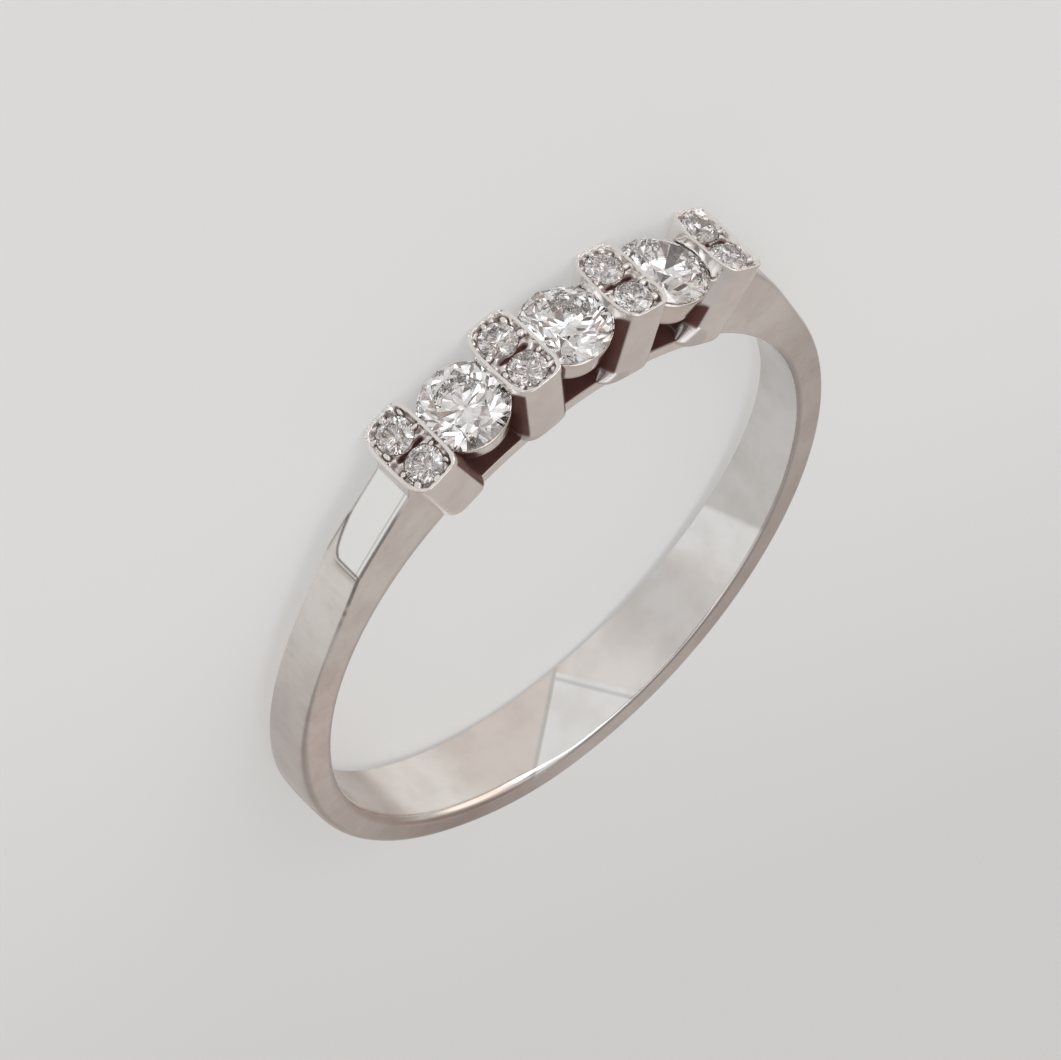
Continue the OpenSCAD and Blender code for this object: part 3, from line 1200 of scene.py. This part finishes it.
    def _walls(self) -> tuple[Array, ...]:
        """The walls as outlines, from the rounded edge down to the foot and under it.

        Returns:
            The places along s and z, the heights and the painted shade with the solder's dull tone, by row
            and by point.
        """
        edge, foot = (quarter_turn(rows + 1)[1:] for rows in (self.edge_rows, self.foot_rows))
        low = self.foot_r + self.foot_round
        wall = np.linspace(HEAD_R - self.edge_round, low, self.wall_rows)[1:]
        closing = np.linspace(self.foot_round, 0.9 * self.half_width, self.closing_rows)[1:]
        drops = HEAD_R - self.edge_round * (1 - np.cos(edge)), wall, low - self.foot_round * np.sin(foot)
        height = np.concatenate([*drops, np.full(len(closing), self.foot_r)])
        rounding = self.edge_round * (1 - np.sin(edge)), 0 * wall, self.foot_round * (1 - np.cos(foot))
        inset = np.concatenate([*rounding, closing])
        share = (height - self.foot_r) / (HEAD_R - self.foot_r)
        length = self.foot_half_length + (self.half_length - self.foot_half_length) * share**self.taper
        s, z = self.outline(inset, length)
        height = np.broadcast_to(height[:, None], s.shape)
        flare = self._flare(s, z / length[:, None], height)
        shade_and_solder = self._painted_wall_shade(s, z, height)
        # On the solder, the painted shade gives way to a dull solder tone.
        shade_and_solder = shade_and_solder + (self.solder_tarnish - shade_and_solder) * ease(flare, *self.solder_edge)
        return s - flare, z, height, shade_and_solder

    def shell(self) -> Shell:
        """The bar as outlines, from the middle of its top down to its foot, notched for the stones."""
        s, z, height, grime = (np.vstack(rows) for rows in zip(self._top(), self._walls()))
        whole = stand_out(self.angle, s, z, height)
        notched = self._notched(whole)
        in_seat = ease(np.linalg.norm(notched - whole, axis=-1), *self.in_seat)
        # Painted shade in the stone seats under the small stones, broken into flecks.
        flecks = self.fleck_mean + self.fleck_contrast * ripples(z, height, self.number)
        flecks = np.clip(flecks, 0, self.fleck_most)
        return Shell.over_rings(notched, grime=np.maximum(grime, in_seat * flecks))

    def _flare(self, s: Array, along: Array, height: Array) -> Array:
        """How far solder widens the foot to the left near its two ends.

        Args:
            s: places along the row of stones.
            along: places along z, as shares of the half length.
            height: distances from the axis.

        Returns:
            The distances.
        """
        drop = np.clip((self.solder_top - height) / (self.solder_top - self.solder_full), 0, 1)
        ends = ease(np.abs(along), *self.solder_ends)
        return self.solder * drop * ends * np.maximum(0, -s / self.half_width)

    def _painted_shade_on_top(self, s: Array, z: Array, height: Array) -> Array:
        """Painted shade on the top: in the crevice, and in what is lower than the field.

        Args:
            s: places along the row of stones.
            z: places along the finger hole's axis.
            height: distances from the axis.

        Returns:
            The mask.
        """
        low = 1 - ease(height - HEAD_R + self.field_depth, *self.low_field)
        crevice = ease(self.between(s, z), *self.crevice_shade)
        return np.maximum(self.low_shade * low, crevice) * ease(self.seats(s, z), *self.seat_edge)

    def _painted_wall_shade(self, s: Array, z: Array, height: Array) -> Array:
        """Painted shade on the walls that face a main stone, in the recess under it, and a thin painted
        shade line round the foot.

        Args:
            s: places along the row of stones.
            z: places along the finger hole's axis.
            height: distances from the axis.

        Returns:
            The mask.
        """
        sides = [math.copysign(1.0, angle - self.angle) for angle in self.main_stones()]
        inner_walls = sum(ease(side * s, *self.wall_shade_side) for side in sides)
        top = self.wall_shade_top + self.wall_shade_rise * ease(z, *self.wall_shade_rises)
        up_to = 1 - ease(height - top, -self.wall_shade_blur, self.wall_shade_blur)
        over_foot = height - self.foot_r
        walls = inner_walls * up_to * ease(z, *self.wall_shade_near) * ease(over_foot, *self.wall_shade_low)
        return np.maximum(walls, self.foot_line_share * (1 - ease(over_foot, *self.foot_line)))

    def _notched(self, points: Array) -> Array:
        """The bar with room for the girdles of the main stones beside it.

        A point that is nearer to a stone's axis than the stone's seat moves out to the seat, which
        is a cone under the girdle and another over it.

        Args:
            points: the bar's points.

        Returns:
            The moved points.
        """
        for angle in self.main_stones():
            axis = around(angle, 1.0, 0.0)
            height = points @ axis
            offset = points - height[..., None] * axis
            reach = np.linalg.norm(offset, axis=-1)
            slope = np.where(height > GIRDLE_R, self.seat_slope_over, self.seat_slope_under)
            past = np.maximum(0, np.abs(height - GIRDLE_R) - self.seat_flat)
            seat = STONE_D / 2 + self.seat_gap - past * slope
            push = np.maximum(0, seat - reach) / np.maximum(reach, 0.01)
            points = points + offset * push[..., None]
        return points

    def build(self, metal: bpy.types.Material, stone: bpy.types.Material) -> None:
        """Makes the bar and its two stones."""
        self.shell().metal_piece(f"bar_{self.number}", metal, 60)
        for small in self.stones():
            small.build(stone, "small_brilliant")


@dataclass
class Collar:
    """The plain cup under a main stone, turned about the stone's axis."""

    angle: float
    low: float = 9.90
    high: float = 10.80
    low_r: float = 1.02
    high_r: float = 1.235
    hole_r: float = 0.60
    lip: float = 0.07
    foot_round: float = 0.05
    seat: float = 10.22
    # Where painted shade darkens the cup's foot.
    grime: Rise = (0.02, 0.08)
    foot_points: int = 5
    wall_points: int = 7
    lip_points: int = 9
    turns: int = 96

    def shell(self) -> Shell:
        """The cup: its profile carried round the stone's axis.

        The profile goes up the outside, over a rounded lip, down a cone that follows the pavilion
        and through the hole.

        Returns:
            The cup in its place.
        """
        arc = np.linspace(0, math.pi, self.lip_points)
        lip_r = self.high_r - self.lip + self.lip * np.cos(arc)
        lip_h = self.high - self.lip + self.lip * np.sin(arc)
        up = inner_shares(self.wall_points)[0]
        foot = quarter_turn(self.foot_points)
        foot_r = self.low_r - self.foot_round * (1 - np.sin(foot))
        foot_h = self.low + self.foot_round * (1 - np.cos(foot))
        wall_r = foot_r[-1] + (lip_r[0] - foot_r[-1]) * up
        wall_h = foot_h[-1] + (lip_h[0] - foot_h[-1]) * up
        radius = np.concatenate([foot_r, wall_r, lip_r, [self.hole_r, self.hole_r]])
        height = np.concatenate([foot_h, wall_h, lip_h, [self.seat, self.low]])
        turn = np.arange(self.turns)[:, None] * (2 * math.pi / self.turns)
        rings = stand_out(self.angle, radius * np.cos(turn), radius * np.sin(turn), height + 0 * turn)
        # Painted shade at the cup's foot, in the recess under the stone.
        grime = 1 - ease(height - self.low, *self.grime)
        return Shell.over_rings(rings, joined=True, grime=grime[None, :])


@dataclass
class Gallery:
    """The rail that follows the finger hole under the head, and the cups of the main stones."""

    reach: float = 28.0
    rail_height: float = 0.40
    rail_half_width: float = 0.85
    rail_edge: float = 0.06
    corner_points: int = 6
    rows: int = 90

    def rail(self) -> Shell:
        """The rail: a rounded rectangle carried round the finger hole.

        Returns:
            The rail, with painted shade on its outer face, under the head.
        """
        outer, edge, points = FINGER_R + self.rail_height, self.rail_edge, self.corner_points
        top, low, half = outer - edge, FINGER_R + edge, self.rail_half_width - edge
        corners = np.repeat([(top, half), (low, half), (low, -half), (top, -half)], points, axis=0)
        turn = (np.arange(4)[:, None] * (math.pi / 2) + quarter_turn(points)).ravel()
        radius = corners[:, 0] + edge * np.cos(turn)
        z = corners[:, 1] + edge * np.sin(turn)
        angle = np.linspace(-self.reach, self.reach, self.rows)[:, None]
        # Painted shade on the rail's outer face, in the windows under the stones.
        grime = ease(radius, outer - 0.03, outer - 0.01)
        return Shell.over_rings(around(angle, radius[None, :], z[None, :]), grime=grime[None, :])

    def build(self, metal: bpy.types.Material, cup_metal: bpy.types.Material) -> None:
        """Makes the rail and the cups."""
        self.rail().metal_piece("gallery_rail", metal)
        for name, angle in zip(STONE_SIDES, STONE_ANGLES):
            Collar(angle).shell().metal_piece(f"collar_{name}", cup_metal)


@dataclass(frozen=True)
class Card:
    """A soft light or dark area round the studio, in a direction, with an inner and outer reach."""

    direction: Direction
    inner: float
    outer: float
    colour: Colour


# The light and dark areas round the ring, each painted over the ones before.
CARDS = (
    Card((0.0, 1.0, 0.25), 30, 85, (0.80, 0.81, 0.82)),
    Card((0.39, -0.82, 0.41), 25, 60, (0.50, 0.455, 0.43)),
    Card((-0.75, -0.62, 0.27), 8, 26, (0.36, 0.32, 0.30)),
    Card((-0.75, 0.62, 0.2), 6, 18, (0.46, 0.34, 0.29)),
    Card((-0.41, 0.80, 0.45), 8, 21, (0.20, 0.16, 0.14)),
    Card((-0.2, 0.2, 1.0), 12, 26, (1.3, 1.3, 1.3)),
    Card((0.84, 0.38, 0.34), 9, 22, (1.2, 1.03, 0.93)),
    Card((0.17, 0.78, 0.60), 3, 9, (2.8, 2.75, 2.7)),
    Card((0.65, -0.21, 0.73), 8, 22, (0.24, 0.19, 0.17)),
    Card((0.44, 0.87, 0.24), 12, 25, (1.6, 1.6, 1.62)),
    Card((-0.30, 0.94, 0.12), 5, 13, (1.15, 1.15, 1.16)),
)


@dataclass
class Studio:
    """The table, the soft light round the ring and the camera.

    Small bright and dark cards are scattered in front of the stones, so that their facets sparkle.
    """

    table_z: float
    table_half: float = 900.0
    table_colour: Colour = (0.446, 0.443, 0.437)
    table_shaded_colour: Colour = (0.385, 0.382, 0.376)
    table_fade: Rise = (-8, 32)
    table_clouds_per_mm: float = 0.03
    table_cloud_reach: float = 8.0
    table_roughness: float = 0.8
    table_gloss: float = 0.1
    table_glow: float = 0.90
    light_bounces: int = 20
    floor_bounces: int = 1
    walls: Colour = (0.46, 0.44, 0.43)
    sparkles: int = 28
    sparkle_seed: int = 11
    sparkle_turns: Rise = (-75, 50)
    sparkle_rises: Rise = (3, 48)
    sparkle_sizes: Rise = (3.0, 7.0)
    sparkle_core: float = 0.6
    sparkle_colours: tuple[Colour, ...] = (
        (2.4, 2.4, 2.45),
        (0.07, 0.06, 0.055),
        (1.5, 1.5, 1.55),
        (0.30, 0.19, 0.15),
    )
    camera_at: Direction = (-53.821, 113.988, 55.707)
    camera_right: Direction = (0.7557, 0.0323, 0.6541)
    camera_up: Direction = (0.5254, 0.5662, -0.6351)
    lens_share: float = 5000 / 1061
    sensor: float = 36.0

    def build_camera(self) -> None:
        """Sets the camera where the photograph was taken from."""
        data = bpy.data.cameras.new("camera")
        data.sensor_width = self.sensor
        data.lens = self.lens_share * self.sensor
        data.clip_start = 1 * MM
        data.clip_end = 5000 * MM
        camera = add_object("camera", data)
        right, up = Vector(self.camera_right).normalized(), Vector(self.camera_up)
        up = (up - right * up.dot(right)).normalized()
        turn = Matrix((right, up, right.cross(up))).transposed()
        camera.matrix_world = Matrix.LocRotScale(Vector(self.camera_at) * MM, turn, None)
        bpy.context.scene.camera = camera

    def sparkle_cards(self) -> list[Card]:
        """Small cards in random directions in front of the stones, in turn bright, dark and brown."""
        random = np.random.default_rng(self.sparkle_seed)
        turns = np.radians(random.uniform(*self.sparkle_turns, self.sparkles))
        rises = np.radians(random.uniform(*self.sparkle_rises, self.sparkles))
        sizes = random.uniform(*self.sparkle_sizes, self.sparkles).tolist()
        level = np.cos(rises)
        ways = np.stack([np.sin(turns) * level, np.cos(turns) * level, np.sin(rises)], axis=-1)
        rows = zip(ways.tolist(), sizes, itertools.cycle(self.sparkle_colours))
        return [Card(tuple(way), self.sparkle_core * size, size, colour) for way, size, colour in rows]

    def build_light(self) -> None:
        """Lights the ring from pale walls with brighter and darker areas."""
        scene = bpy.context.scene
        scene.view_settings.view_transform = "Standard"
        scene.cycles.max_bounces = self.light_bounces
        scene.cycles.diffuse_bounces = self.floor_bounces
        scene.cycles.glossy_bounces = self.light_bounces
        scene.cycles.transmission_bounces = self.light_bounces
        world = bpy.data.worlds.new("studio")
        world.use_nodes = True
        scene.world = world
        nodes = Nodes(world.node_tree)
        where = nodes.add("ShaderNodeTexCoord", {}, {}).outputs["Generated"]
        colour: object = self.walls
        for card in (*CARDS, *self.sparkle_cards()):
            towards = tuple(Vector(card.direction).normalized())
            dot = nodes.add("ShaderNodeVectorMath", {"operation": "DOT_PRODUCT"}, {0: where, 1: towards})
            near = Value(nodes, dot.outputs["Value"])
            low, high = (math.cos(math.radians(a)) for a in (card.outer, card.inner))
            colour = nodes.mix(near.eased(low, high), colour, card.colour)
        nodes.finish("ShaderNodeBackground", {"Color": colour, "Strength": 1.0})

    def build_table(self) -> None:
        """Makes the pale table under the ring, painted darker towards negative y as painted shade, and
        glowing by itself, which lifts the shadows round the ring.
        """
        half = self.table_half * MM
        mesh = bpy.data.meshes.new("table")
        corners = [(x * half, y * half, self.table_z) for x, y in ((-1, -1), (1, -1), (1, 1), (-1, 1))]
        mesh.from_pydata(corners, [], [(0, 1, 2, 3)])
        material, nodes = new_material("table")
        x, y, _ = nodes.place()
        clouds = (nodes.noise(self.table_clouds_per_mm, 1) - 0.5) * self.table_cloud_reach
        # Painted shade: the table darkens towards negative y, with soft clouds in the border.
        away = (x * -0.5 - y + clouds).eased(*self.table_fade)
        colour = nodes.mix(away, self.table_colour, self.table_shaded_colour)
        inputs = {
            "Base Color": colour,
            "Roughness": self.table_roughness,
            "Specular IOR Level": self.table_gloss,
            # The table glows by itself, a painted light that lifts the shadows round the ring.
            "Emission Color": colour,
            "Emission Strength": self.table_glow,
        }
        nodes.finish("ShaderNodeBsdfPrincipled", inputs)
        mesh.materials.append(material)
        add_object("table", mesh)


def main() -> None:
    """Builds the studio and then the ring, piece by piece."""
    logging.basicConfig(level=logging.INFO, format="%(message)s")
    studio = Studio(table_z=CAD_BOX[0].z)
    studio.build_camera()
    studio.build_light()
    studio.build_table()

    # The band's painted shade is a darker grey-brown, and its stretches carry painted reflections and
    # shade.
    band_gold = WhiteGold(painted_shade_colour=(0.095, 0.072, 0.066), painted_light_patches=PAINTED_LIGHT_PATCHES)
    Band(Facet()).build(band_gold.material("band_gold"))
    head_gold = WhiteGold().material("head_gold")
    clear = CutStone().material("brilliant")
    small_veils = CutStone(veil_colour=(0.38, 0.34, 0.32), veils_per_mm=5.0, veil_from=0.44, veil_full=0.54)
    clear_small = small_veils.material("small_brilliant")
    bars = (
        CrossBar(1, -1.5 * BAR_PITCH),
        CrossBar(2, -0.5 * BAR_PITCH, solder=0.10),
        CrossBar(3, 0.5 * BAR_PITCH, solder=0.42),
        CrossBar(4, 1.5 * BAR_PITCH, solder=0.40, solder_top=9.40, wall_shade_top=9.75),
    )
    for bar in bars:
        bar.build(head_gold, clear_small)
    # The cups get a darker, warmer copy of the head's metal: painted shade under the stones.
    cup_gold = WhiteGold(colour=(0.88, 0.82, 0.77)).material("cup_gold")
    Gallery().build(head_gold, cup_gold)
    for name, angle, spin in zip(STONE_SIDES, STONE_ANGLES, (8.0, 8.0, 29.0)):
        Brilliant(f"stone_{name}", angle, GIRDLE_R, STONE_D, spin=spin).build(clear, "brilliant")


if __name__ == "__main__":
    main()
